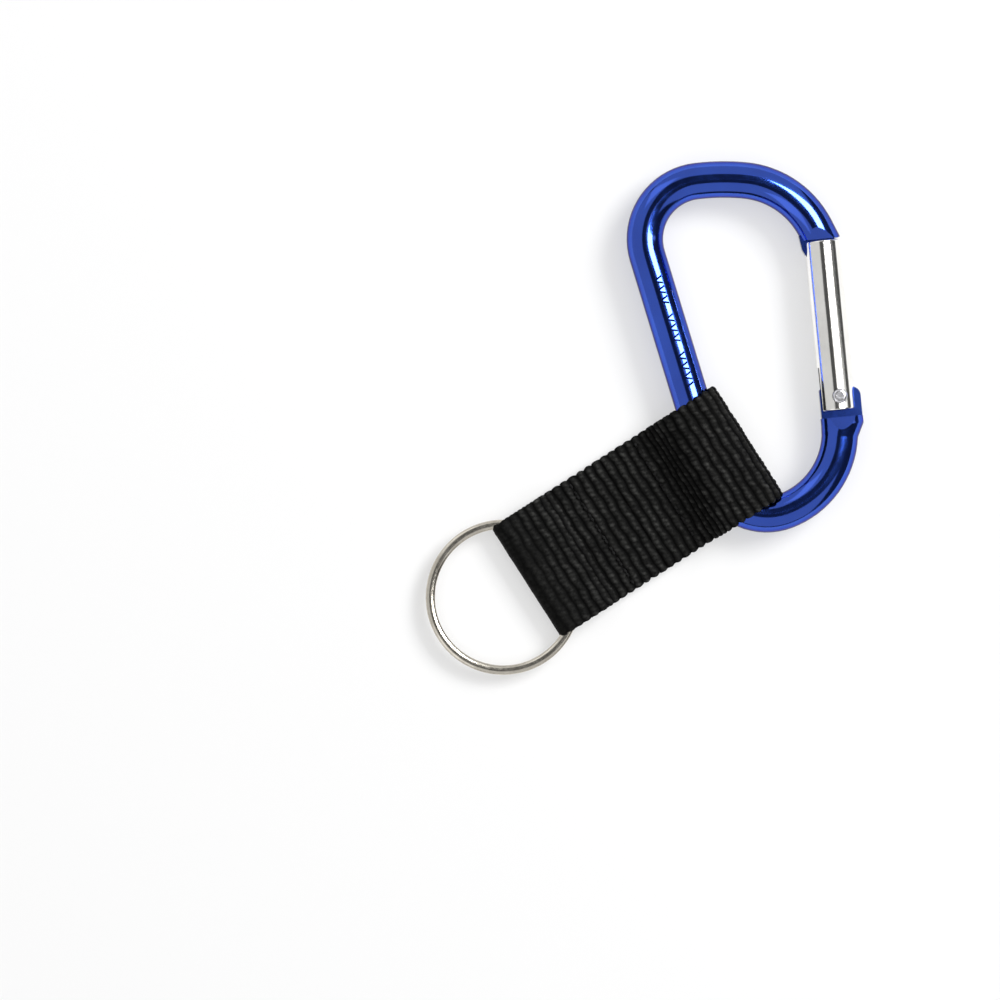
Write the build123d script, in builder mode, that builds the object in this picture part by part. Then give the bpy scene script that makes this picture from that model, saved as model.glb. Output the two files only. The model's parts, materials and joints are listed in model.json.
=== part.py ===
"""Carabiner keyring: a D-shaped carabiner, a webbing strap and a split ring, lying flat.

Millimetres, +Z up. The origin is the middle of the object's footprint, on the surface it
lies on. +Y runs along the closed gate, from its rivet to the nose of the carabiner.
"""

import os
from math import cos, pi, radians, sin

from build123d import *

# --- driving dimensions -----------------------------------------------------------------

# webbing: one flat woven strip, folded double round the rod and round the split ring
WEB_THICKNESS = 1.2
WEB_WIDTH = 21.5
STRAP_LENGTH = 43.6
STRAP_ANGLE = 27.1
STRAP_START_X, STRAP_START_Y = -20.48, -25.57
SOFT_GAP = 0.15

# carabiner rod, with its bends in order from the hinge round to the nose: radius and turn
ROD_DIAMETER = 6.0
LOWER_BOW = (13.7, 75.0)
LOWER_CORNER = (8.9, 93.5)
SPINE_LENGTH = 37.7
UPPER_CORNER = (9.55, 100.0)
CROWN = (37.5, 12.1)
NOSE_BOW = (14.55, 57.8)
NOSE_RUN = 3.0

# gate: its rivet stands at PIVOT, and its axis runs beside the rivet
PIVOT_X, PIVOT_Y = 33.52, -0.02
GATE_AXIS = -0.35
GATE_DIAMETER = 5.9
GATE_BORE = 4.3
GATE_BOTTOM, GATE_TOP = -2.3, 25.65
BORE_END = 12.3
NOSE_SLOT_BOTTOM = 23.25
INNER_WINDOW_TOP = 4.9
OUTER_SLOT_TOP = 1.5
WINDOW_WIDTH = 3.0
SLOT_WIDTH = 2.3

# flat tongues forged on the two ends of the rod, and the shoulders behind them
TONGUE_THICKNESS = 2.0
TONGUE_TOP = 1.4
TONGUE_INNER, TONGUE_OUTER = -3.2, 3.5
TONGUE_INNER_ROUND, TONGUE_OUTER_ROUND = 0.35, 1.5
TONGUE_ROOT = 1.0
HINGE_SHOULDER = -3.45
NOSE_SHOULDER = 25.85
# the nose's tongue: its root, its end, its lip inside the gate and its outer side
NOSE_ROOT = 0.9
NOSE_TONGUE_END, NOSE_LIP_END = -1.7, -2.4
NOSE_LIP_WAIST = -1.45
NOSE_LIP_ROOT_X, NOSE_LIP_WAIST_X, NOSE_LIP_TIP_X = -4.1, -3.75, -3.3
NOSE_LIP_TIP_WIDTH = 0.4
NOSE_TONGUE_OUTER = 1.7
COLLAR_WIDTH, COLLAR_HEIGHT = 7.0, 6.1
COLLAR_AXIS = 0.13
COLLAR_LENGTH = 1.2
COLLAR_TAPER_TURN = 8.0
PRESS_RUN, PRESS_DEPTH = 2.1, 0.6
EDGE_ROUND = 0.3

# rivet, spring and spring pin
RIVET_SHANK = 2.0
RIVET_CLEARANCE = 0.05
RIVET_HEAD = 2.5
RIVET_SEAT = 2.45
RIVET_HEIGHT = 3.1
RIVET_DIMPLE = 0.8
RIVET_ROUND = 0.55
PIN_CLEARANCE = 0.05
PIN_GAP = 0.03
PIN_HEAD_LENGTH = 1.2
PIN_STEM_DIAMETER = 2.2
PIN_STEM_LENGTH = 4.0
SPRING_WIRE = 0.5
SPRING_DIAMETER = 3.9
SPRING_PITCH = 1.25

# split ring: two turns of wire drawn to an oval section
RING_OUTER_DIAMETER = 25.5
RING_WIRE_WIDTH = 1.55
RING_WIRE_HEIGHT = 0.95
RING_TURN_GAP = 0.06
RING_JOG_TURN = 26.0
RING_JOG_STEPS = 6
RING_END_GAP = 2.0
RING_SETBACK = 4.4
RING_SLACK = 0.12
RING_POCKET_END = 9.2

# places where the strap flexes, and its two rows of stitches, along the strap
CREASE_AT_ROD = 29.8
CREASE_AT_RING = 12.2
SEAMS = {"seam_at_rod": 27.4, "seam_at_ring": 14.8}
STITCH_COUNT = 9
STITCH_PITCH = 2.15
STITCH_LENGTH = 1.8
THREAD = 0.4

# row of stamped marks along the spine
MARK_GROUPS = (6, 6, 7)
MARK_PITCH = 0.85
MARK_GROUP_GAP = 1.4
MARK_WIDTH, MARK_LENGTH = 0.32, 1.5
MARK_SLANT = 24
MARK_DEPTH = 0.2
MARK_START = 4.0
MARK_SIDESTEP = 0.7

# --- sizes that follow ------------------------------------------------------------------

ROD_RADIUS = ROD_DIAMETER / 2
ROD_POCKET = ROD_RADIUS + SOFT_GAP
ROD_LOOP_RADIUS = ROD_POCKET + WEB_THICKNESS
ROD_Z = ROD_LOOP_RADIUS
PLY_PAIR = 2 * WEB_THICKNESS
FLEX_Z = WEB_THICKNESS

RING_RADIUS = RING_OUTER_DIAMETER / 2 - RING_WIRE_WIDTH / 2
TURN_RISE = RING_WIRE_HEIGHT + RING_TURN_GAP
RING_HEIGHT = RING_WIRE_HEIGHT + TURN_RISE
RING_POCKET = RING_HEIGHT / 2 + RING_SLACK
RING_LOOP_RADIUS = RING_POCKET + WEB_THICKNESS
RING_Z = RING_LOOP_RADIUS

PIN_SEAT = TONGUE_TOP + PIN_GAP
SPRING_RADIUS = (SPRING_DIAMETER - SPRING_WIRE) / 2

# the carabiner's own plane, with its origin on the rivet's axis at mid thickness
CARABINER = Plane(origin=(PIVOT_X, PIVOT_Y, ROD_Z))
# the same seen from the outside of the gate: x along the gate, y up
GATE_SIDE = Plane(origin=CARABINER.origin, x_dir=(0, 1, 0), z_dir=(1, 0, 0))
# the strap's plane: x along the strap from the ring end, y across it
STRAP = Plane(
    origin=(STRAP_START_X, STRAP_START_Y, 0),
    x_dir=(cos(radians(STRAP_ANGLE)), sin(radians(STRAP_ANGLE)), 0),
    z_dir=(0, 0, 1),
)
# its long section, on the centre line: x along the strap, y up
STRAP_SECTION = Plane(origin=STRAP.origin, x_dir=STRAP.x_dir, z_dir=-STRAP.y_dir)
RING_CENTRE = STRAP.from_local_coords((-RING_SETBACK, 0, 0))
RING_AXIS = Axis(RING_CENTRE, (0, 0, 1))


def across_gate(y):
    """Plane square to the gate, y above the rivet: its x is up, its y to the outside."""
    return Plane(origin=CARABINER.from_local_coords((0, y, 0)), x_dir=(0, 0, 1), z_dir=(0, 1, 0))


def ring_plane(angle, height):
    """Upright plane through the ring's wire at an angle round the ring: its x is outward."""
    outward = Vector(1, 0, 0).rotate(Axis.Z, angle)
    centre = RING_CENTRE + outward * RING_RADIUS + Vector(0, 0, height)
    return Plane(origin=centre, x_dir=outward, z_dir=outward.cross(Vector(0, 0, 1)))


# --- carabiner body ---------------------------------------------------------------------

collar_end = (GATE_AXIS, HINGE_SHOULDER - COLLAR_LENGTH)
with BuildLine(CARABINER) as taper_run:
    taper_line = JernArc(collar_end, (0, -1), LOWER_BOW[0], -COLLAR_TAPER_TURN)
with BuildLine(CARABINER) as rod_line:
    lower_bow = JernArc(taper_line @ 1, taper_line % 1, LOWER_BOW[0], COLLAR_TAPER_TURN - LOWER_BOW[1])
    lower_corner = JernArc(lower_bow @ 1, lower_bow % 1, LOWER_CORNER[0], -LOWER_CORNER[1])
    spine = PolarLine(lower_corner @ 1, SPINE_LENGTH, direction=lower_corner % 1)
    upper_corner = JernArc(spine @ 1, spine % 1, UPPER_CORNER[0], -UPPER_CORNER[1])
    crown = JernArc(upper_corner @ 1, upper_corner % 1, CROWN[0], -CROWN[1])
    nose_bow = JernArc(crown @ 1, crown % 1, NOSE_BOW[0], -NOSE_BOW[1])
    nose_run = PolarLine(nose_bow @ 1, NOSE_RUN, direction=nose_bow % 1)

rod_path = rod_line.wire()
rod_start = Plane(origin=rod_path @ 0, z_dir=rod_path % 0)

# the marks run down the spine from near its upper end, on the rod's front
marks_plane = Plane(
    origin=(spine @ 1) + Vector(0, 0, ROD_RADIUS - MARK_DEPTH),
    x_dir=-(spine % 1),
    z_dir=(0, 0, 1),
)

with BuildPart() as carabiner_body:
    with BuildSketch(rod_start):
        Circle(ROD_RADIUS)
    sweep(path=rod_path)
    with BuildSketch(CARABINER):
        with Locations((0, NOSE_SHOULDER)):
            Rectangle(2 * ROD_DIAMETER, ROD_DIAMETER, align=(Align.CENTER, Align.MAX))
    extrude(amount=ROD_DIAMETER, both=True, mode=Mode.SUBTRACT)

    # the collar at the hinge end spreads to the outside, and tapers into the rod
    with BuildSketch(across_gate(HINGE_SHOULDER)):
        with Locations((0, COLLAR_AXIS)):
            Ellipse(COLLAR_HEIGHT / 2, COLLAR_WIDTH / 2)
    extrude(amount=-COLLAR_LENGTH)
    with BuildSketch(across_gate(HINGE_SHOULDER - COLLAR_LENGTH)):
        with Locations((0, COLLAR_AXIS)):
            Ellipse(COLLAR_HEIGHT / 2, COLLAR_WIDTH / 2)
    with BuildSketch(rod_start):
        Circle(ROD_RADIUS)
    loft()

    # the forging dies press both ends thinner towards their shoulders, front and back
    with BuildSketch(GATE_SIDE):
        for shoulder, run in ((NOSE_SHOULDER, PRESS_RUN), (HINGE_SHOULDER, -PRESS_RUN)):
            Polygon(
                (shoulder, ROD_RADIUS - PRESS_DEPTH),
                (shoulder + run, COLLAR_HEIGHT / 2),
                (shoulder, ROD_DIAMETER),
                align=None,
            )
        mirror(about=Plane.XZ)
    extrude(amount=ROD_DIAMETER, both=True, mode=Mode.SUBTRACT)

    # tongue at the hinge, where the rivet passes
    with BuildSketch(CARABINER.offset(-TONGUE_THICKNESS / 2)):
        with BuildLine():
            Polyline(
                (TONGUE_INNER, HINGE_SHOULDER - TONGUE_ROOT),
                (TONGUE_OUTER, HINGE_SHOULDER - TONGUE_ROOT),
                (TONGUE_OUTER, TONGUE_TOP),
                (TONGUE_INNER, TONGUE_TOP),
                close=True,
            )
        make_face()
        fillet(vertices().group_by(Axis.Y)[-1].sort_by(Axis.X)[-1], TONGUE_OUTER_ROUND)
        fillet(vertices().group_by(Axis.Y)[-1].sort_by(Axis.X)[0], TONGUE_INNER_ROUND)
    # tongue at the nose, with a lip that shows inside the gate
    with BuildSketch(CARABINER.offset(-TONGUE_THICKNESS / 2)):
        with BuildLine():
            Polyline(
                (NOSE_LIP_ROOT_X, NOSE_SHOULDER + NOSE_ROOT),
                (NOSE_LIP_WAIST_X, NOSE_SHOULDER + NOSE_LIP_WAIST),
                (NOSE_LIP_TIP_X, NOSE_SHOULDER + NOSE_LIP_END),
                (NOSE_LIP_TIP_X + NOSE_LIP_TIP_WIDTH, NOSE_SHOULDER + NOSE_LIP_END),
                (NOSE_TONGUE_OUTER, NOSE_SHOULDER + NOSE_TONGUE_END),
                (NOSE_TONGUE_OUTER, NOSE_SHOULDER + NOSE_ROOT),
                close=True,
            )
        make_face()
    extrude(amount=TONGUE_THICKNESS)
    with BuildSketch(CARABINER):
        Circle(RIVET_SHANK / 2 + RIVET_CLEARANCE)
    extrude(amount=TONGUE_THICKNESS, both=True, mode=Mode.SUBTRACT)

    # three groups of plain stamped ticks across the spine, slanted one way and the other
    with BuildSketch(marks_plane):
        place = MARK_START
        for count in MARK_GROUPS:
            for tick in range(count):
                with Locations((place, MARK_SIDESTEP)):
                    Rectangle(MARK_WIDTH, MARK_LENGTH, rotation=MARK_SLANT * (-1) ** tick)
                place += MARK_PITCH
            place += MARK_GROUP_GAP
    extrude(amount=ROD_RADIUS, mode=Mode.SUBTRACT)

# --- gate: a rod bored from its hinge end, with a slot for each tongue ----------------------

with BuildPart() as gate:
    with BuildSketch(across_gate(GATE_BOTTOM)):
        with Locations((0, GATE_AXIS)):
            Circle(GATE_DIAMETER / 2)
    extrude(amount=GATE_TOP - GATE_BOTTOM)
    fillet(gate.edges().filter_by(GeomType.CIRCLE), EDGE_ROUND)
    with BuildSketch(across_gate(GATE_BOTTOM)):
        with Locations((0, GATE_AXIS)):
            Circle(GATE_BORE / 2)
    extrude(amount=BORE_END - GATE_BOTTOM, mode=Mode.SUBTRACT)

    # the nose slot goes right through; the hinge slots are cut in one wall each
    gate_middle = GATE_SIDE.offset(GATE_AXIS)
    with BuildSketch(gate_middle):
        with Locations((NOSE_SLOT_BOTTOM, 0)):
            Rectangle(GATE_DIAMETER, SLOT_WIDTH, align=(Align.MIN, Align.CENTER))
    extrude(amount=GATE_DIAMETER, both=True, mode=Mode.SUBTRACT)
    for width, top, side in ((WINDOW_WIDTH, INNER_WINDOW_TOP, -1), (SLOT_WIDTH, OUTER_SLOT_TOP, 1)):
        with BuildSketch(gate_middle):
            with Locations((top, 0)):
                Rectangle(2 * GATE_DIAMETER, width, align=(Align.MAX, Align.CENTER))
        extrude(amount=side * GATE_DIAMETER, mode=Mode.SUBTRACT)

    # the rivet's hole, and a flat seat for each of its heads
    with BuildSketch(CARABINER):
        Circle(RIVET_SHANK / 2)
    extrude(amount=GATE_DIAMETER, both=True, mode=Mode.SUBTRACT)
    for side in (1, -1):
        with BuildSketch(CARABINER.offset(side * RIVET_SEAT)):
            Circle(RIVET_HEAD / 2)
        extrude(amount=side * GATE_DIAMETER, mode=Mode.SUBTRACT)

# --- rivet, spring pin and spring -------------------------------------------------------

with BuildPart() as gate_rivet:
    with BuildSketch(CARABINER):
        Circle(RIVET_SHANK / 2)
    extrude(amount=RIVET_SEAT, both=True)
    for side in (1, -1):
        with BuildSketch(CARABINER.offset(side * RIVET_SEAT)):
            Circle(RIVET_HEAD / 2)
        extrude(amount=side * (RIVET_HEIGHT - RIVET_SEAT))
    fillet(gate_rivet.edges().group_by(Axis.Z)[0], RIVET_ROUND)
    fillet(gate_rivet.edges().group_by(Axis.Z)[-1], RIVET_ROUND)
    with BuildSketch(CARABINER.offset(RIVET_HEIGHT)):
        Circle(RIVET_DIMPLE / 2)
    extrude(amount=-RIVET_DIMPLE / 4, mode=Mode.SUBTRACT)

with BuildPart() as spring_pin:
    with BuildSketch(across_gate(PIN_SEAT)):
        with Locations((0, GATE_AXIS)):
            Circle(GATE_BORE / 2 - PIN_CLEARANCE)
    extrude(amount=PIN_HEAD_LENGTH)
    with BuildSketch(across_gate(PIN_SEAT + PIN_HEAD_LENGTH)):
        with Locations((0, GATE_AXIS)):
            Circle(PIN_STEM_DIAMETER / 2)
    extrude(amount=PIN_STEM_LENGTH)
    chamfer(spring_pin.edges().group_by(Axis.Y)[-1], EDGE_ROUND)

spring_foot = PIN_SEAT + PIN_HEAD_LENGTH + SPRING_WIRE / 2
spring_head = BORE_END - SPRING_WIRE / 2
with BuildLine() as coil_line:
    Helix(
        SPRING_PITCH,
        spring_head - spring_foot,
        SPRING_RADIUS,
        center=CARABINER.from_local_coords((GATE_AXIS, spring_foot, 0)),
        direction=(0, 1, 0),
    )
with BuildPart() as gate_spring:
    with BuildSketch(Plane(origin=coil_line.line @ 0, z_dir=coil_line.line % 0)):
        Circle(SPRING_WIRE / 2)
    sweep(path=coil_line.line, is_frenet=True)

# --- webbing ----------------------------------------------------------------------------

ROD_LOOP_FAR = STRAP_LENGTH - ROD_LOOP_RADIUS
ROD_LOOP_NEAR = STRAP.to_local_coords(lower_corner.arc_center).X - LOWER_CORNER[0]
RING_LOOP_FAR = RING_POCKET_END - RING_POCKET


def long_slot(start, end, height, radius, mode=Mode.ADD):
    """Round-ended slot in the strap's long section, between two centres at one height."""
    with Locations(((start + end) / 2, height)):
        SlotCenterToCenter(end - start, 2 * radius, mode=mode)


def ply_pair(start, end):
    """The two plies where they lie on each other, from start to end along the strap."""
    with Locations((start, 0)):
        Rectangle(end - start, PLY_PAIR, align=Align.MIN)


with BuildPart() as webbing_rod_loop:
    with BuildSketch(STRAP_SECTION):
        long_slot(ROD_LOOP_NEAR, ROD_LOOP_FAR, ROD_Z, ROD_LOOP_RADIUS)
        ply_pair(CREASE_AT_ROD + WEB_THICKNESS + SOFT_GAP, ROD_LOOP_NEAR)
        long_slot(ROD_LOOP_NEAR, ROD_LOOP_FAR, ROD_Z, ROD_POCKET, mode=Mode.SUBTRACT)
    extrude(amount=WEB_WIDTH / 2, both=True)
    # the rod bears into the loop's edges where it leaves at an angle
    with BuildSketch(rod_start):
        Circle(ROD_POCKET)
    sweep(path=rod_path, mode=Mode.SUBTRACT)

with BuildPart() as webbing_middle:
    with BuildSketch(STRAP_SECTION):
        ply_pair(CREASE_AT_RING + WEB_THICKNESS + SOFT_GAP, CREASE_AT_ROD)
        with Locations((CREASE_AT_ROD, FLEX_Z)):
            Circle(WEB_THICKNESS)
    extrude(amount=WEB_WIDTH / 2, both=True)

with BuildPart() as webbing_ring_loop:
    with BuildSketch(STRAP_SECTION):
        long_slot(RING_LOOP_RADIUS, RING_LOOP_FAR, RING_Z, RING_LOOP_RADIUS)
        ply_pair(RING_LOOP_FAR, CREASE_AT_RING)
        with Locations((CREASE_AT_RING, FLEX_Z)):
            Circle(WEB_THICKNESS)
        long_slot(RING_LOOP_RADIUS, RING_LOOP_FAR, RING_Z, RING_POCKET, mode=Mode.SUBTRACT)
    extrude(amount=WEB_WIDTH / 2, both=True)
    # the ring bears into the loop's corners where it leaves through the sides
    with BuildSketch(ring_plane(0, RING_Z)):
        Rectangle(RING_WIRE_WIDTH + 2 * SOFT_GAP, 2 * RING_POCKET)
    revolve(axis=RING_AXIS, mode=Mode.SUBTRACT)

# each seam is a row of thread loops through both plies
seams = {}
for seam_name, seam_place in SEAMS.items():
    seam_plane = Plane(
        origin=STRAP.from_local_coords((seam_place, 0, PLY_PAIR / 2 + THREAD / 4)),
        x_dir=STRAP.y_dir,
        z_dir=STRAP.x_dir,
    )
    with BuildPart() as seam:
        with BuildSketch(seam_plane):
            with GridLocations(STITCH_PITCH, 0, STITCH_COUNT, 1):
                RectangleRounded(STITCH_LENGTH, PLY_PAIR + THREAD / 2, THREAD)
                Rectangle(STITCH_LENGTH - 2 * THREAD, PLY_PAIR - 1.5 * THREAD, mode=Mode.SUBTRACT)
        extrude(amount=THREAD / 2, both=True)
    seams[seam_name] = seam

# --- split ring: two turns of wire, joined by a jog that hides inside the strap ------------

turn_low = RING_Z - TURN_RISE / 2
turn_high = RING_Z + TURN_RISE / 2
jog_start = STRAP_ANGLE - RING_JOG_TURN / 2
jog_end = jog_start + RING_JOG_TURN


def ring_wire():
    Ellipse(RING_WIRE_WIDTH / 2, RING_WIRE_HEIGHT / 2)


with BuildPart() as split_ring:
    with BuildSketch(ring_plane(jog_start, turn_low)):
        ring_wire()
    revolve(axis=RING_AXIS, revolution_arc=-(360 - RING_JOG_TURN - RING_END_GAP))
    with BuildSketch(ring_plane(jog_end, turn_high)):
        ring_wire()
    revolve(axis=RING_AXIS, revolution_arc=360 - RING_JOG_TURN - RING_END_GAP)
    for step in range(RING_JOG_STEPS + 1):
        climb = (1 - cos(pi * step / RING_JOG_STEPS)) / 2
        angle = jog_start + RING_JOG_TURN * step / RING_JOG_STEPS
        with BuildSketch(ring_plane(angle, turn_low + TURN_RISE * climb)):
            ring_wire()
    loft()

# --- one file for each piece ------------------------------------------------------------

PIECES = {
    "carabiner_body": carabiner_body,
    "gate": gate,
    "gate_rivet": gate_rivet,
    "spring_pin": spring_pin,
    "gate_spring": gate_spring,
    "webbing_rod_loop": webbing_rod_loop,
    "webbing_middle": webbing_middle,
    "webbing_ring_loop": webbing_ring_loop,
    "split_ring": split_ring,
    **seams,
}

os.makedirs("parts", exist_ok=True)
for name, piece in PIECES.items():
    piece.part.label = name
    export_step(piece.part, f"parts/{name}.step")
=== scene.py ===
"""Looks of the carabiner keyring: its materials, its woven strap, the light and the camera.

Metres, in the CAD frame: +Z up, +Y along the closed gate, the keyring lying flat on z = 0.
"""

import json
from math import atan2, ceil, cos, hypot, pi, radians, sin, tan

import bpy
import numpy as np
from mathutils import Matrix, Vector


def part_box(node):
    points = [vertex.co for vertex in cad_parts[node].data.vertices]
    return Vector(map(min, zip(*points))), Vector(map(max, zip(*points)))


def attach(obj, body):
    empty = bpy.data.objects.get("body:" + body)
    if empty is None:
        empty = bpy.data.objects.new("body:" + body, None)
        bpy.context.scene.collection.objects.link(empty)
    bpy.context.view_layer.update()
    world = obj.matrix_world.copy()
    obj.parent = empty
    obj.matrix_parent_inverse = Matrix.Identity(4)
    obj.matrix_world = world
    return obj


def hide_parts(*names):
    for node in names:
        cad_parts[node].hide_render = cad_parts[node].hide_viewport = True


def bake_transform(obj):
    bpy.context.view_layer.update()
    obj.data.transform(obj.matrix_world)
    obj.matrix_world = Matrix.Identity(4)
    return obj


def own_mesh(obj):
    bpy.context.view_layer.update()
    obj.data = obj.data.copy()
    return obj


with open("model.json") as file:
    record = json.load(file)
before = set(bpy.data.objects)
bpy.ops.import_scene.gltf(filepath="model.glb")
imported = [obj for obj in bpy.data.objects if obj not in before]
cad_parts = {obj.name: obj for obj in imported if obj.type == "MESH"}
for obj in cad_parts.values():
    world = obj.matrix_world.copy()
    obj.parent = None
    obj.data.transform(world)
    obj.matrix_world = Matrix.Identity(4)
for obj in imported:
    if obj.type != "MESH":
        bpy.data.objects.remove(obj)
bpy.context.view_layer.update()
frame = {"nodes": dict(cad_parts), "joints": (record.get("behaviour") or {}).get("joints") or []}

MM = 0.001

# --- the view ---------------------------------------------------------------------------

# the keyring is seen from straight above, with its gate leaning to the left of upright
VIEW_TURN = radians(-5.5)
VIEW_CENTRE = (-23.4 * MM, -11.63 * MM)
VIEW_PLANE = 4.35 * MM
VIEW_WIDTH = 163.9 * MM
CAMERA_HEIGHT = 900 * MM
SENSOR = 36.0
CAMERA_CLIP = (0.01, 20.0)

VIEW_RIGHT = Vector((cos(VIEW_TURN), sin(VIEW_TURN), 0))
VIEW_UP = Vector((-sin(VIEW_TURN), cos(VIEW_TURN), 0))
STAGE_CENTRE = Vector((*VIEW_CENTRE, 0))


def seen_from_above(right, up, height):
    """The point that many metres right of, up from and above the middle of the view."""
    return STAGE_CENTRE + VIEW_RIGHT * right + VIEW_UP * up + Vector((0, 0, height))


def make_camera():
    data = bpy.data.cameras.new("camera")
    data.sensor_width = SENSOR
    data.lens = SENSOR * (CAMERA_HEIGHT - VIEW_PLANE) / VIEW_WIDTH
    data.clip_start, data.clip_end = CAMERA_CLIP
    camera = bpy.data.objects.new("camera", data)
    turn = Matrix((VIEW_RIGHT, VIEW_UP, Vector((0, 0, 1)))).transposed().to_4x4()
    camera.matrix_world = Matrix.Translation(seen_from_above(0, 0, CAMERA_HEIGHT)) @ turn
    bpy.context.scene.collection.objects.link(camera)
    bpy.context.scene.camera = camera


make_camera()

# --- materials --------------------------------------------------------------------------

# the mix node's colour sockets, which share their names with its number sockets
MIX_FIRST, MIX_SECOND, MIX_RESULT = 6, 7, 2
# how fast the painted light on the yarns' crowns fades into the painted shade of the valleys
# between them
CROWN_LIGHT_STEEPNESS = 2.2


def new_material(name, colour, roughness, metallic=0.0):
    """A material with those plain values, its node tree and its shader."""
    material = bpy.data.materials.new(name)
    material.use_nodes = True
    tree = material.node_tree
    shader = tree.nodes["Principled BSDF"]
    shader.inputs["Base Color"].default_value = (*colour, 1)
    shader.inputs["Roughness"].default_value = roughness
    shader.inputs["Metallic"].default_value = metallic
    return material, tree, shader


def add_node(tree, kind, inputs=(), **settings):
    node = tree.nodes.new(kind)
    for name, value in settings.items():
        setattr(node, name, value)
    for name, value in dict(inputs).items():
        if isinstance(value, bpy.types.NodeSocket):
            tree.links.new(value, node.inputs[name])
        else:
            node.inputs[name].default_value = value
    return node


def stretched(tree, source, scale):
    """The coordinates scaled by three factors, so that a pattern on them is drawn out."""
    made = add_node(tree, "ShaderNodeMapping", {"Vector": source, "Scale": scale})
    return made.outputs["Vector"]


def noise(tree, coordinates, scale, detail=3.0, roughness=0.55):
    made = add_node(
        tree,
        "ShaderNodeTexNoise",
        {"Vector": coordinates, "Scale": scale, "Detail": detail, "Roughness": roughness},
    )
    return made.outputs["Fac"]


def ranged(tree, value, low, high, from_low=0.3, from_high=0.7):
    """value, spread from its own range to low and high."""
    made = add_node(
        tree,
        "ShaderNodeMapRange",
        {
            "Value": value,
            "From Min": from_low,
            "From Max": from_high,
            "To Min": low,
            "To Max": high,
        },
    )
    return made.outputs["Result"]


def calculated(tree, operation, first, second):
    return add_node(tree, "ShaderNodeMath", {0: first, 1: second}, operation=operation).outputs[0]


def between(tree, factor, first, second):
    """A colour from first to second, by factor."""
    made = add_node(tree, "ShaderNodeMix", data_type="RGBA")
    tree.links.new(factor, made.inputs["Factor"])
    made.inputs[MIX_FIRST].default_value = (*first, 1)
    made.inputs[MIX_SECOND].default_value = (*second, 1)
    return made.outputs[MIX_RESULT]


def bumped(tree, shader, height, distance, strength=1.0):
    made = add_node(
        tree, "ShaderNodeBump", {"Height": height, "Distance": distance, "Strength": strength}
    )
    tree.links.new(made.outputs["Normal"], shader.inputs["Normal"])


def object_coordinates(tree):
    return add_node(tree, "ShaderNodeTexCoord").outputs["Object"]


def blue_anodised():
    """Bright dipped aluminium under a clear blue oxide film."""
    deep, pale = (0.030, 0.080, 0.48), (0.036, 0.105, 0.60)
    material, tree, shader = new_material("blue_anodised", deep, 0.13, metallic=1.0)
    place = object_coordinates(tree)
    cloud = noise(tree, place, 90)
    colour = between(tree, ranged(tree, cloud, 0, 1), deep, pale)
    tree.links.new(colour, shader.inputs["Base Color"])
    haze = noise(tree, place, 420, detail=4)
    tree.links.new(ranged(tree, haze, 0.1, 0.17), shader.inputs["Roughness"])
    bumped(tree, shader, noise(tree, place, 260, detail=2), 0.02 * MM, strength=0.5)
    shader.inputs["Coat Weight"].default_value = 0.5
    shader.inputs["Coat Roughness"].default_value = 0.05
    shader.inputs["Coat IOR"].default_value = 1.5
    shader.inputs["Specular Tint"].default_value = (0.02, 0.03, 0.05, 1)
    return material


def polished_aluminium():
    """Drawn and tumbled aluminium, with fine lines along the gate."""
    grey, bright = (0.88, 0.87, 0.84), (0.98, 0.97, 0.94)
    material, tree, shader = new_material("polished_aluminium", bright, 0.17, metallic=1.0)
    place = object_coordinates(tree)
    lines = noise(tree, stretched(tree, place, (1, 0.02, 1)), 5200, detail=2)
    cloud = noise(tree, place, 240)
    colour = between(tree, ranged(tree, cloud, 0, 1), grey, bright)
    tree.links.new(colour, shader.inputs["Base Color"])
    tree.links.new(ranged(tree, lines, 0.09, 0.17), shader.inputs["Roughness"])
    bumped(tree, shader, lines, 0.008 * MM, strength=0.35)
    return material


def steel_wire(name, grey, bright, roughness):
    """Drawn wire, with faint cloudy lines."""
    material, tree, shader = new_material(name, bright, roughness, metallic=1.0)
    place = object_coordinates(tree)
    cloud = noise(tree, place, 500)
    colour = between(tree, ranged(tree, cloud, 0, 1), grey, bright)
    tree.links.new(colour, shader.inputs["Base Color"])
    haze = noise(tree, place, 1800, detail=4)
    tree.links.new(ranged(tree, haze, roughness * 0.8, roughness * 1.3), shader.inputs["Roughness"])
    bumped(tree, shader, haze, 0.01 * MM, strength=0.3)
    return material


def black_nylon(name, dark, lit_crown, sheen):
    """Black nylon yarn: fine filaments along the weave's coordinates, with painted light on its
    crowns and painted shade in the valleys between them.
    """
    material, tree, shader = new_material(name, dark, 0.6)
    place = add_node(tree, "ShaderNodeUVMap", uv_map="weave").outputs["UV"]
    filaments = noise(tree, stretched(tree, place, (0.16, 1, 1)), 5600, detail=3)
    cloud = ranged(tree, noise(tree, place, 160), 0.7, 1)
    speckle = ranged(tree, noise(tree, place, 1500, detail=2), 0.35, 1.6)
    # painted light and shade: the weave's height paints the crowns paler and the valleys between
    # the ribs darker
    crown = add_node(tree, "ShaderNodeAttribute", attribute_name="relief").outputs["Fac"]
    steep = calculated(tree, "POWER", crown, CROWN_LIGHT_STEEPNESS)
    mottle = calculated(tree, "MULTIPLY", cloud, speckle)
    painted_crown_light = calculated(tree, "MULTIPLY", steep, mottle)
    tree.links.new(between(tree, painted_crown_light, dark, lit_crown), shader.inputs["Base Color"])
    tree.links.new(ranged(tree, filaments, 0.5, 0.7), shader.inputs["Roughness"])
    bumped(tree, shader, filaments, 0.05 * MM, strength=0.8)
    shader.inputs["Specular IOR Level"].default_value = 0.03
    shader.inputs["Sheen Weight"].default_value = sheen
    shader.inputs["Sheen Roughness"].default_value = 0.45
    return material


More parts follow.
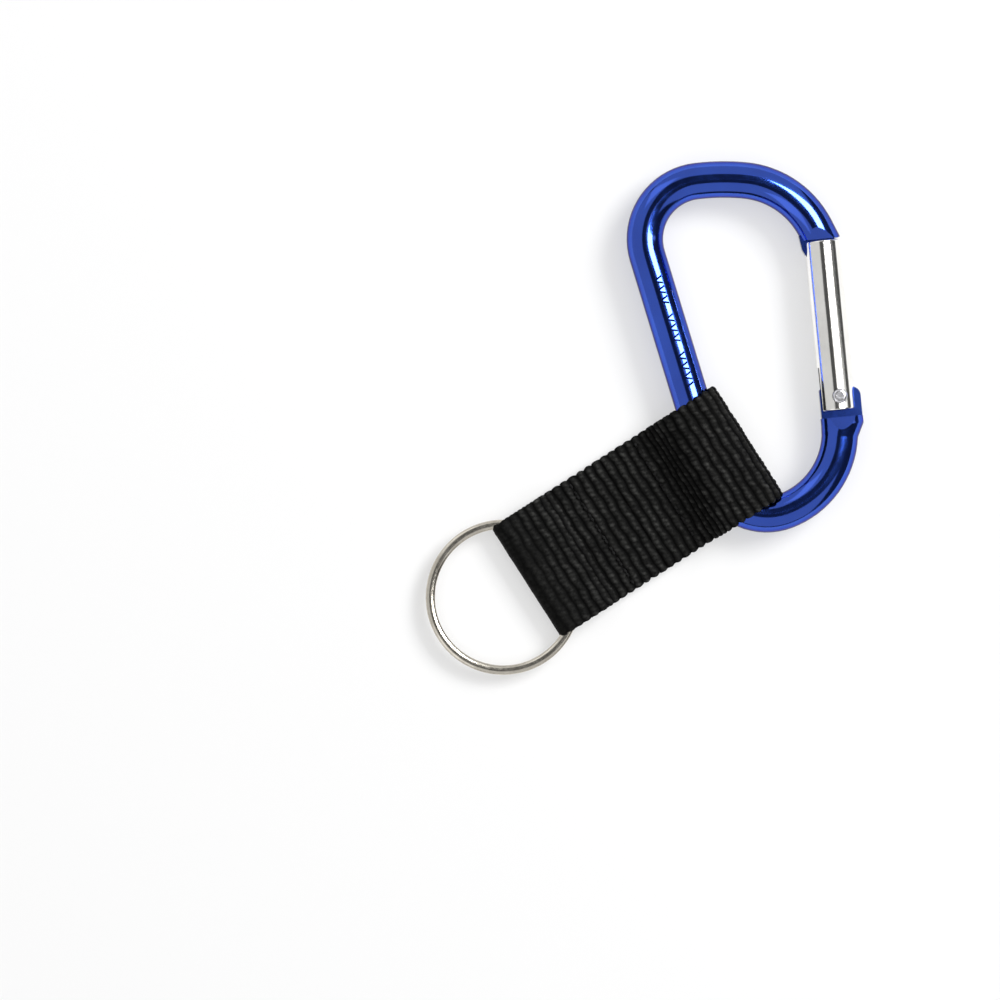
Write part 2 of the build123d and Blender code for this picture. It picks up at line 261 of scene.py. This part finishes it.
MATERIALS = {
    "blue_anodised": blue_anodised(),
    "polished_aluminium": polished_aluminium(),
    "rivet": steel_wire("rivet", (0.62, 0.62, 0.66), (0.84, 0.84, 0.87), 0.2),
    "spring_steel": steel_wire("spring_steel", (0.35, 0.35, 0.36), (0.55, 0.55, 0.57), 0.3),
    "nickel_plate": steel_wire("nickel_plate", (0.56, 0.52, 0.45), (0.72, 0.68, 0.60), 0.2),
    # the webbing's first colour is the black nylon and the painted shade of its valleys; its second
    # is the painted light on its crowns
    "webbing": black_nylon("webbing", (0.001, 0.001, 0.001), (0.042, 0.042, 0.040), 0.005),
    "thread": black_nylon("thread", (0.003, 0.003, 0.003), (0.020, 0.020, 0.020), 0.015),
}

CAD_LOOKS = {
    "carabiner_body": "blue_anodised",
    "gate": "polished_aluminium",
    "gate_rivet": "rivet",
    "spring_pin": "spring_steel",
    "split_ring": "nickel_plate",
}


def finish_cad_nodes():
    for node, look in CAD_LOOKS.items():
        shown = frame["nodes"][node]
        shown.data.materials.clear()
        shown.data.materials.append(MATERIALS[look])


finish_cad_nodes()

# --- the strap, as the frame gives it -----------------------------------------------------


def joint_named(name):
    return next(joint for joint in frame["joints"] if joint["name"] == name)


ACROSS = Vector(joint_named("strap_flex_at_rod")["axis"])
ALONG = Vector((ACROSS.y, -ACROSS.x, 0))


def node_points(*nodes):
    """The nodes' vertices: how far along and across the strap's directions, and their height."""
    rows = []
    for node in nodes:
        mesh = frame["nodes"][node].data
        points = np.empty(len(mesh.vertices) * 3)
        mesh.vertices.foreach_get("co", points)
        rows.append(points.reshape(-1, 3))
    points = np.concatenate(rows)
    return np.stack((points @ np.array(ALONG), points @ np.array(ACROSS), points[:, 2]), axis=1)


strap_points = node_points("webbing_rod_loop", "webbing_middle", "webbing_ring_loop")
STRAP_START = strap_points[:, 0].min()
STRAP_LENGTH = strap_points[:, 0].max() - STRAP_START
STRAP_MIDLINE = (strap_points[:, 1].min() + strap_points[:, 1].max()) / 2
WEB_WIDTH = strap_points[:, 1].max() - strap_points[:, 1].min()
WEB_THICKNESS = node_points("webbing_middle")[:, 2].max() / 2


def strap_place(joint):
    """How far along the strap, from its ring end, a joint's axis is."""
    return Vector(joint_named(joint)["pos_m"]).dot(ALONG) - STRAP_START


CREASE_AT_ROD = strap_place("strap_flex_at_rod")
CREASE_AT_RING = strap_place("strap_flex_at_ring")
ROD_Z = joint_named("gate_hinge")["pos_m"][2]
RING_LOW, RING_HIGH = (corner.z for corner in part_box("split_ring"))
RING_Z = (RING_LOW + RING_HIGH) / 2

LOWER_PLY = WEB_THICKNESS / 2
UPPER_PLY = 3 * WEB_THICKNESS / 2
ROD_WRAP = ROD_Z - LOWER_PLY
RING_WRAP = RING_Z - LOWER_PLY
JOIN = (CREASE_AT_ROD + CREASE_AT_RING) / 2


def row_point(along, across, height):
    """A point of the CAD frame, from its place on the strap."""
    flat = ALONG * (along + STRAP_START) + ACROSS * (across + STRAP_MIDLINE)
    return flat + Vector((0, 0, height))


def rod_centre_at(across):
    """How far along the strap the carabiner's rod crosses, at a place across the strap."""
    points = node_points("carabiner_body")
    mesh = frame["nodes"]["carabiner_body"].data
    ends = np.empty(len(mesh.edges) * 2, dtype=np.int32)
    mesh.edges.foreach_get("vertices", ends)
    first, second = points[ends[0::2]], points[ends[1::2]]
    before, after = (side[:, 1] - STRAP_MIDLINE - across for side in (first, second))
    cut = before * after < 0
    share = before[cut] / (before[cut] - after[cut])
    places = first[cut, 0] + share * (second[cut, 0] - first[cut, 0]) - STRAP_START
    inside = places[(places > CREASE_AT_ROD) & (places < STRAP_LENGTH)]
    return (inside.min() + inside.max()) / 2


# --- webbing ----------------------------------------------------------------------------

# a heavy plain weave: thick weft ribs lie across the strap, and warp yarns float over them
RIB_PITCH = 1.55 * MM
YARN_PITCH = 0.85 * MM
RIB_DEPTH = 0.45 * MM
YARN_SHARE = 0.34
YARN_SLANT = 0.7
YARN_UNEVENNESS = 0.4
YARN_WANDER = 0.16
RIB_WANDER = 0.045
# the waves that the ribs and the yarns wander in: length across, and drift from rib to rib
RIB_WAVES = ((0.55 * MM, 1.7), (1.3 * MM, -0.9))
YARN_WAVE, YARN_WAVE_DRIFT = 0.8 * MM, 2.1
UNEVENNESS_SEED = 7
SELVEDGE_ROUND = 0.5 * MM
SELVEDGE_BITE = 0.3 * MM
# the ring pulls the weave flat over its first millimetres, and there the painted light on its
# crowns and painted shade in its valleys even out to one tone
PULL_REACH = 5.0 * MM
PULL = 0.75
PULLED_PAINTED_LIGHT = 0.4
STATIONS_PER_RIB = 11
OUTER_STEP = 0.15 * MM
INNER_STEP = 0.7 * MM
EDGE_STEPS = 6
MIDDLE_COLUMN = ceil((WEB_WIDTH / 2 - SELVEDGE_ROUND) / OUTER_STEP)
CREASE_ROUND = 2.5 * MM
BEND_REACH = 1.9 * MM
PATH_STEP = 0.1 * MM
ARC_STEP = radians(3)
# where the rod is looked up across the strap, a little short of both edges
ROD_SAMPLES = 15
SAMPLED_SHARE = 0.98


def arc(centre, radius, start, end):
    """Points round a centre in the strap's long section, from one angle to another."""
    angles = np.linspace(start, end, 2 + int(abs(end - start) / ARC_STEP))
    places = centre[0] + radius * np.cos(angles)
    heights = centre[1] + radius * np.sin(angles)
    return np.stack((places, heights), axis=1)


def rod_part_path(rod_place):
    """The strip's middle line, from the join over the rod and back under it to the join.

    Every such path has its points at the same places along the strap, whatever the rod's place.
    """
    run, rise = rod_place - CREASE_AT_ROD, ROD_Z - UPPER_PLY
    slope = atan2(rise, run) + np.arcsin(ROD_WRAP / hypot(run, rise))
    fillet = (CREASE_AT_ROD - CREASE_ROUND * tan(slope / 2), UPPER_PLY + CREASE_ROUND)
    far = STRAP_LENGTH - WEB_THICKNESS / 2 - ROD_WRAP
    top = np.concatenate((
        [(JOIN, UPPER_PLY)],
        arc(fillet, CREASE_ROUND, -pi / 2, slope - pi / 2),
        arc((rod_place, ROD_Z), ROD_WRAP, slope + pi / 2, pi / 2),
        [(far, ROD_Z + ROD_WRAP)],
    ))
    places = np.linspace(JOIN, far, ceil((far - JOIN) / PATH_STEP))
    return np.concatenate((
        np.stack((places, np.interp(places, *top.T)), axis=1),
        arc((far, ROD_Z), ROD_WRAP, pi / 2, -pi / 2),
        [(JOIN, LOWER_PLY)],
    ))


def ring_part_path():
    """The strip's middle line, from the join under the ring and back over it to the join."""
    near = WEB_THICKNESS / 2 + RING_WRAP
    fall_start = node_points("split_ring")[:, 0].max() - STRAP_START
    fall_end = CREASE_AT_RING - WEB_THICKNESS / 2
    share = np.linspace(0, 1, ceil((fall_end - fall_start) / PATH_STEP))
    eased = share**2 * (3 - 2 * share)
    top = RING_Z + RING_WRAP
    fall_places = fall_start + share * (fall_end - fall_start)
    fall = np.stack((fall_places, top + eased * (UPPER_PLY - top)), axis=1)
    return np.concatenate((
        [(JOIN, LOWER_PLY)],
        arc((near, RING_Z), RING_WRAP, 3 * pi / 2, pi / 2),
        fall,
        [(JOIN, UPPER_PLY)],
    ))


def path_length(path):
    return np.hypot(*np.diff(path, axis=0).T).sum()


def even_stations(path, count):
    """Where on a path, counted in its points, that many evenly spaced stations are."""
    lengths = np.concatenate(([0], np.cumsum(np.hypot(*np.diff(path, axis=0).T))))
    return np.interp(np.linspace(0, lengths[-1], count), lengths, np.arange(len(path)))


def on_path(path, stations):
    """The points of a path at its stations, and its left-hand normals there."""
    order = np.arange(len(path))
    points = np.stack([np.interp(stations, order, path[:, axis]) for axis in (0, 1)], axis=1)
    tangents = np.gradient(points, axis=0)
    tangents /= np.hypot(*tangents.T)[:, None]
    return points, np.stack((-tangents[:, 1], tangents[:, 0]), axis=1)


def strip_profile():
    """The strip's cross-section, all round.

    Gives each point's place across, its share of half the thickness, and its share of the edge.
    """
    flat = WEB_WIDTH / 2 - SELVEDGE_ROUND
    outer = np.linspace(-flat, flat, ceil(2 * flat / OUTER_STEP))
    inner = np.linspace(flat, -flat, ceil(2 * flat / INNER_STEP))
    turn = np.linspace(0, pi, EDGE_STEPS + 2)[1:-1]
    across = np.concatenate((
        outer, flat + SELVEDGE_ROUND * np.sin(turn), inner, -flat - SELVEDGE_ROUND * np.sin(turn)
    ))
    height = np.concatenate((
        np.ones(len(outer)), np.cos(turn), -np.ones(len(inner)), -np.cos(turn)
    ))
    edge = np.concatenate((
        np.zeros(len(outer)), np.sin(turn), np.zeros(len(inner)), -np.sin(turn)
    ))
    return across, height, edge


def weave_relief(ribs_along, across, unevenness):
    """Height of the weave, 0 to 1, and of its ribs alone, at places counted in ribs along."""
    ribs_along = ribs_along + RIB_WANDER * sum(
        np.sin(across / length + drift * ribs_along) for length, drift in RIB_WAVES
    )
    rib = np.floor(ribs_along).astype(int)
    phase = ribs_along - rib
    crown = np.sin(pi * phase)
    yarns = across / YARN_PITCH + unevenness[rib % len(unevenness), 0] / YARN_UNEVENNESS
    wave = np.sin(across / YARN_WAVE + YARN_WAVE_DRIFT * rib)
    yarns = yarns + YARN_SLANT * (phase - 0.5) + YARN_WANDER * wave
    yarn = np.floor(yarns).astype(int)
    float_round = 1 - (2 * (yarns - yarn) - 1) ** 2
    total_ribs, total_yarns = unevenness.shape
    uneven = 1 - unevenness[rib % total_ribs, yarn % total_yarns]
    return crown * uneven * (1 - YARN_SHARE + YARN_SHARE * float_round), crown


def mesh_piece(name, points, faces, material, weave=None):
    """A smooth mesh object with flat ends.

    Cloth has weave, each point's two coordinates along the yarns and its height in the weave.
    """
    mesh = bpy.data.meshes.new(name)
    mesh.from_pydata([tuple(p) for p in points], [], faces)
    if weave is not None:
        corner_vertices = np.empty(len(mesh.loops), dtype=np.int32)
        mesh.loops.foreach_get("vertex_index", corner_vertices)
        layer = mesh.uv_layers.new(name="weave")
        layer.data.foreach_set("uv", weave[corner_vertices, :2].astype(np.float32).ravel())
        relief = mesh.attributes.new("relief", "FLOAT", "POINT")
        relief.data.foreach_set("value", weave[:, 2].astype(np.float32))
    mesh.polygons.foreach_set("use_smooth", [len(face) == 4 for face in faces])
    mesh.materials.append(material)
    mesh.update()
    piece = bpy.data.objects.new(name, mesh)
    bpy.context.scene.collection.objects.link(piece)
    return piece


def make_strip(name, paths, across, height, edge, first_rib, ribs, unevenness):
    """One closed piece of webbing, along the path that each place across it has."""
    stations = ribs * STATIONS_PER_RIB + 1
    spacing = even_stations(paths[MIDDLE_COLUMN], stations)
    ribs_along = np.linspace(first_rib, first_rib + ribs, stations)
    spots = np.empty((stations, len(across), 3))
    weave = np.empty((stations, len(across), 3))
    rib = np.floor(ribs_along).astype(int) % len(unevenness)
    bite = SELVEDGE_BITE * (0.5 + unevenness[rib, 1] / YARN_UNEVENNESS)
    for column, (place, level, side) in enumerate(zip(across, height, edge)):
        points, normals = on_path(paths[column], spacing)
        relief, crown = weave_relief(ribs_along, np.full(stations, place), unevenness)
        pull = PULL * np.exp(-((points[:, 0] / PULL_REACH) ** 2))
        lift = level * (WEB_THICKNESS / 2 - RIB_DEPTH * (1 - pull) * (1 - relief))
        spots[:, column, 0] = points[:, 0] + normals[:, 0] * lift
        spots[:, column, 1] = place - side * bite * (1 - crown)
        spots[:, column, 2] = points[:, 1] + normals[:, 1] * lift
        weave[:, column, 0] = ribs_along * RIB_PITCH
        weave[:, column, 1] = place
        # the weave's height, which paints light on the crowns and shade in the valleys, evened out
        # where the ring pulls the weave flat
        weave[:, column, 2] = relief + pull * (PULLED_PAINTED_LIGHT - relief)
    corners = (
        (spots[..., 0:1] + STRAP_START) * np.array(ALONG)
        + (spots[..., 1:2] + STRAP_MIDLINE) * np.array(ACROSS)
        + spots[..., 2:3] * np.array((0, 0, 1))
    )
    around = len(across)
    start = np.arange(stations - 1)[:, None] * around
    here, following = np.arange(around), np.roll(np.arange(around), -1)
    next_start = start + around
    quads = np.stack(
        [start + here, next_start + here, next_start + following, start + following], axis=-1
    )
    faces = quads.reshape(-1, 4).tolist()
    faces.append(list(range(around)))
    faces.append(list(range(stations * around - 1, (stations - 1) * around - 1, -1)))
    corners, weave = corners.reshape(-1, 3), weave.reshape(-1, 3)
    return mesh_piece(name, corners, faces, MATERIALS["webbing"], weave)


def even_number(value):
    return 2 * round(value / 2)


def make_webbing():
    across, height, edge = strip_profile()
    samples = np.linspace(-WEB_WIDTH / 2, WEB_WIDTH / 2, ROD_SAMPLES) * SAMPLED_SHARE
    crossings = np.array([rod_centre_at(place) for place in samples])
    # stiff across, the webbing lies on the rod along a straight line that the rod reaches
    rod_line = np.polyfit(samples, crossings, 1)
    overshoot = (np.polyval(rod_line, samples) - crossings).max()
    rod_places = np.polyval(rod_line, across) - overshoot
    rod_paths = [rod_part_path(place) for place in rod_places]
    ring_path = ring_part_path()
    lengths = [path_length(path) for path in (rod_paths[MIDDLE_COLUMN], ring_path)]
    rod_ribs, ring_ribs = (even_number(length / RIB_PITCH) for length in lengths)
    rng = np.random.default_rng(UNEVENNESS_SEED)
    yarn_count = ceil(WEB_WIDTH / YARN_PITCH) + 2
    unevenness = rng.random((rod_ribs + ring_ribs, yarn_count)) * YARN_UNEVENNESS
    shape = (across, height, edge)
    over_rod = make_strip("webbing_over_rod", rod_paths, *shape, 0, rod_ribs, unevenness)
    over_ring = make_strip(
        "webbing_over_ring", [ring_path] * len(across), *shape, -ring_ribs, ring_ribs, unevenness
    )
    for piece, crease, other, reach in (
        (over_rod, CREASE_AT_ROD, "carabiner", BEND_REACH),
        (over_ring, CREASE_AT_RING, "ring_loop", -BEND_REACH),
    ):
        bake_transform(piece)
    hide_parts("webbing_rod_loop", "webbing_middle")
    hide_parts("webbing_ring_loop")


make_webbing()

# --- stitches ---------------------------------------------------------------------------

THREAD = 0.4 * MM
STRANDS = 2
STRAND_RADIUS = THREAD * 0.3
STRAND_OFFSET = THREAD / 4
STRAND_SIDES = 7
STITCH_STEPS = 56
STITCH_TURNS = 9
STITCH_CORNER = 0.35 * MM


def stitch_loop(middle, half_length, low, high):
    """A rounded closed line through both plies: places across the strap, and heights."""
    right, left = middle + half_length - STITCH_CORNER, middle - half_length + STITCH_CORNER
    top, bottom = high - STITCH_CORNER, low + STITCH_CORNER
    corners = (
        (right, top, 0), (left, top, pi / 2), (left, bottom, pi), (right, bottom, 3 * pi / 2)
    )
    line = np.concatenate([
        arc((x, z), STITCH_CORNER, turn, turn + pi / 2) for x, z, turn in corners
    ])
    return np.concatenate((line, line[:1]))


def strand_tube(line, along, phase):
    """One strand of a thread twisted round a closed line: its points and faces."""
    points, normals = on_path(line, even_stations(line, STITCH_STEPS + 1))
    points, normals = points[:-1], normals[:-1]
    turn = np.linspace(0, 2 * pi * STITCH_TURNS, STITCH_STEPS, endpoint=False) + phase
    centres = points + normals * (STRAND_OFFSET * np.cos(turn))[:, None]
    shift = STRAND_OFFSET * np.sin(turn)
    ring = np.linspace(0, 2 * pi, STRAND_SIDES, endpoint=False)
    spots = []
    for centre, normal, offset in zip(centres, normals, shift):
        for angle in ring:
            out, side = STRAND_RADIUS * cos(angle), STRAND_RADIUS * sin(angle)
            spots.append(row_point(along + offset + side, *(centre + normal * out)))
    faces = []
    for step in range(STITCH_STEPS):
        here, following = step * STRAND_SIDES, (step + 1) % STITCH_STEPS * STRAND_SIDES
        for side in range(STRAND_SIDES):
            beside = (side + 1) % STRAND_SIDES
            faces.append((here + side, here + beside, following + beside, following + side))
    return spots, faces


def make_stitches(node):
    """The row of stitches that a CAD seam holds: a loop of twisted thread for each solid."""
    points = node_points(node)
    along = (points[:, 0].min() + points[:, 0].max()) / 2 - STRAP_START
    places = np.sort(points[:, 1]) - STRAP_MIDLINE
    gaps = np.flatnonzero(np.diff(places) > THREAD / 2)
    starts = places[np.concatenate(([0], gaps + 1))]
    ends = places[np.concatenate((gaps, [-1]))]
    low, high = points[:, 2].min() + THREAD / 2, points[:, 2].max() - THREAD / 2
    spots, faces = [], []
    for start, end in zip(starts, ends):
        line = stitch_loop((start + end) / 2, (end - start) / 2, low, high)
        for strand in range(STRANDS):
            tube_spots, tube_faces = strand_tube(line, along, 2 * pi * strand / STRANDS)
            faces.extend(tuple(corner + len(spots) for corner in face) for face in tube_faces)
            spots.extend(tube_spots)
    spots = np.array([tuple(spot) for spot in spots])
    weave = np.concatenate((spots[:, :2], np.ones((len(spots), 1))), axis=1)
    piece = mesh_piece(f"thread_{node}", spots, faces, MATERIALS["thread"], weave)
    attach(piece, "strap")
    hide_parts(node)


for seam in ("seam_at_rod", "seam_at_ring"):
    make_stitches(seam)

# --- the gate's spring --------------------------------------------------------------------

SPRING_WIRE = 0.5 * MM
SPRING_PITCH = 1.25 * MM
COIL_STEPS = 30
WIRE_SIDES = 12


def make_spring():
    """The coil inside the gate, which the spring pin squeezes as the gate opens."""
    low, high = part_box("gate_spring")
    middle = (low + high) / 2
    coil_radius = (high.x - low.x - SPRING_WIRE) / 2
    turns = (high.y - low.y - SPRING_WIRE) / SPRING_PITCH
    turn = np.linspace(0, 2 * pi * turns, ceil(turns * COIL_STEPS) + 1)[:, None, None]
    side = np.linspace(0, 2 * pi, WIRE_SIDES, endpoint=False)[None, :, None]
    outward = np.cos(turn) * np.array((1, 0, 0)) + np.sin(turn) * np.array((0, 0, 1))
    along = np.array((0, 1, 0))
    foot = np.array((middle.x, low.y + SPRING_WIRE / 2, middle.z))
    spots = (
        foot
        + along * (SPRING_PITCH * turn / (2 * pi) + SPRING_WIRE / 2 * np.sin(side))
        + outward * (coil_radius + SPRING_WIRE / 2 * np.cos(side))
    )
    faces = []
    last = (len(turn) - 1) * WIRE_SIDES
    for start in range(0, last, WIRE_SIDES):
        for here in range(WIRE_SIDES):
            beside = (here + 1) % WIRE_SIDES
            corners = (here, beside, beside + WIRE_SIDES, here + WIRE_SIDES)
            faces.append(tuple(start + corner for corner in corners))
    faces.append(tuple(reversed(range(WIRE_SIDES))))
    faces.append(tuple(range(last, last + WIRE_SIDES)))
    piece = mesh_piece("coil_spring", spots.reshape(-1, 3), faces, MATERIALS["spring_steel"])
    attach(piece, "gate")
    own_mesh(piece)
    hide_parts("gate_spring")


make_spring()

# --- floor and light --------------------------------------------------------------------

FLOOR_SIZE = 6.0
FLOOR_DROP = 0.05 * MM
FLOOR_GREY = 0.4
# the floor gives off part of its white, as a light table does, so the shadows stay faint
FLOOR_GLOW = 0.5
WORLD_STRENGTH = 0.06


def make_floor():
    material, _, shader = new_material("floor", (FLOOR_GREY, FLOOR_GREY, FLOOR_GREY), 0.9)
    shader.inputs["Emission Color"].default_value = (1, 1, 1, 1)
    shader.inputs["Emission Strength"].default_value = FLOOR_GLOW
    mesh = bpy.data.meshes.new("floor")
    half = FLOOR_SIZE / 2
    corners = [(-half, -half, 0), (half, -half, 0), (half, half, 0), (-half, half, 0)]
    mesh.from_pydata(corners, [], [(0, 1, 2, 3)])
    mesh.materials.append(material)
    floor = bpy.data.objects.new("floor", mesh)
    floor.location = (0, 0, -FLOOR_DROP)
    bpy.context.scene.collection.objects.link(floor)


def make_panel(name, azimuth, near, far, width, radiance, diffuse=False, glossy=True, middle=None):
    """A soft light panel beside the view, from its near edge to its far edge.

    Azimuth is anticlockwise from the view's right. Each edge is a distance from the middle of
    the view and a height. With a middle given, the distances are from there, and the panel has
    its right side, and not its own middle, on the line outward from it.
    """
    outward = VIEW_RIGHT * cos(azimuth) + VIEW_UP * sin(azimuth)
    start = STAGE_CENTRE
    if middle is not None:
        start = middle + Vector((0, 0, 1)).cross(outward) * width / 2
    edges = [
        start + outward * distance + Vector((0, 0, height)) for distance, height in (near, far)
    ]
    run = edges[0] - edges[1]
    data = bpy.data.lights.new(name, "AREA")
    data.shape = "RECTANGLE"
    data.size, data.size_y = width, run.length
    data.energy = radiance * pi * width * run.length
    lamp = bpy.data.objects.new(name, data)
    upward = run.normalized()
    sideways = Vector((0, 0, 1)).cross(outward)
    axes = Matrix((sideways, upward, sideways.cross(upward))).transposed().to_4x4()
    lamp.matrix_world = Matrix.Translation((edges[0] + edges[1]) / 2) @ axes
    lamp.visible_diffuse = diffuse
    lamp.visible_glossy = glossy
    lamp.visible_camera = False
    bpy.context.scene.collection.objects.link(lamp)


def make_world(strength):
    world = bpy.data.worlds.new("studio")
    world.use_nodes = True
    background = world.node_tree.nodes["Background"]
    background.inputs["Color"].default_value = (1, 1, 1, 1)
    background.inputs["Strength"].default_value = strength
    bpy.context.scene.world = world


make_floor()
make_world(WORLD_STRENGTH)
# these two light cloth and floor alone: a soft ceiling, and a key from the far right
make_panel("ceiling", 0, (-1.3, 1.5), (1.3, 1.5), 2.6, 1.15, diffuse=True, glossy=False)
make_panel("key", radians(35), (0.75, 0.95), (1.05, 0.65), 0.6, 17, diffuse=True, glossy=False)
# these show in the metal alone
make_panel("left_panel", radians(180), (0.45, 1.35), (1.6, 0.0), 3.0, 0.6)
make_panel("far_panel", radians(90), (0.8, 1.2), (1.6, 0.0), 2.4, 0.6)
make_panel("near_panel", radians(270), (0.48, 1.3), (1.6, 0.2), 2.4, 0.6)
carabiner_low, carabiner_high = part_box("carabiner_body")
carabiner_middle = (carabiner_low + carabiner_high) / 2
make_panel("strip", radians(2), (0.29, 1.05), (0.76, 0.76), 0.62, 16, middle=carabiner_middle)
make_panel("tube", radians(2), (0.1, 1.2), (1.2, 0.5), 0.07, 1.3, middle=carabiner_middle)
bpy.context.scene.view_settings.view_transform = "Standard"
